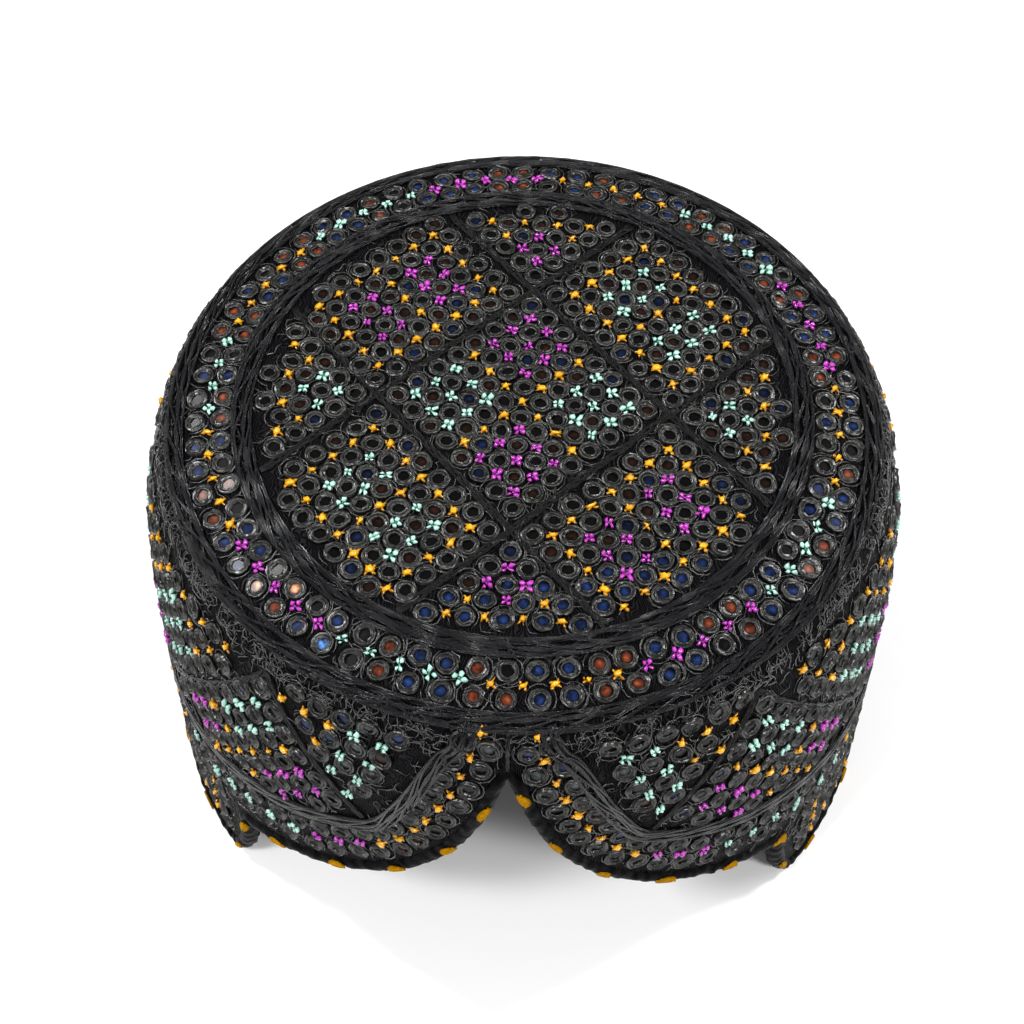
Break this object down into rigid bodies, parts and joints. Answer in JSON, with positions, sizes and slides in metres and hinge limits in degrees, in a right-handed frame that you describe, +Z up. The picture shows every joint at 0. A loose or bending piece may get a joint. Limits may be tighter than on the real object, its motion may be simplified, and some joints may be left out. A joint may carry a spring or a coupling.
{
  "type": "sindhi cap",
  "caption": "Stiff round cap with a low crown, a flared mirror-worked wall, a pointed front notch between two rounded lobes and a bound hem.",
  "frame": {"origin": "centre of the cap's outline on the surface it rests on", "axes": "+Z up out of the crown, -Y towards the front notch"},
  "size_m": [0.1916, 0.1857, 0.1207],
  "materials": {
    "crown_cloth": "black thread-worked cloth",
    "wall_cloth": "black thread-worked cloth",
    "braid": "black satin braid",
    "lattice_band": "dark thread",
    "binding": "black binding with orange satin marks",
    "ring_thread": "wrapped dark grey thread",
    "mirror": "small dark mirrors, some copper or blue",
    "orange_thread": "glossy orange thread",
    "magenta_thread": "glossy magenta thread",
    "mint_thread": "glossy mint thread"
  },
  "bodies": {
    "root": {"crown_panel": "crown_cloth", "side_wall": "wall_cloth", "crown_edge_braid": "braid", "medallion_braid": "braid", "arch_braid": "braid", "crown_lattice": "lattice_band", "wall_lattice": "lattice_band", "hem_binding": "binding"}
  },
  "joints": []
}
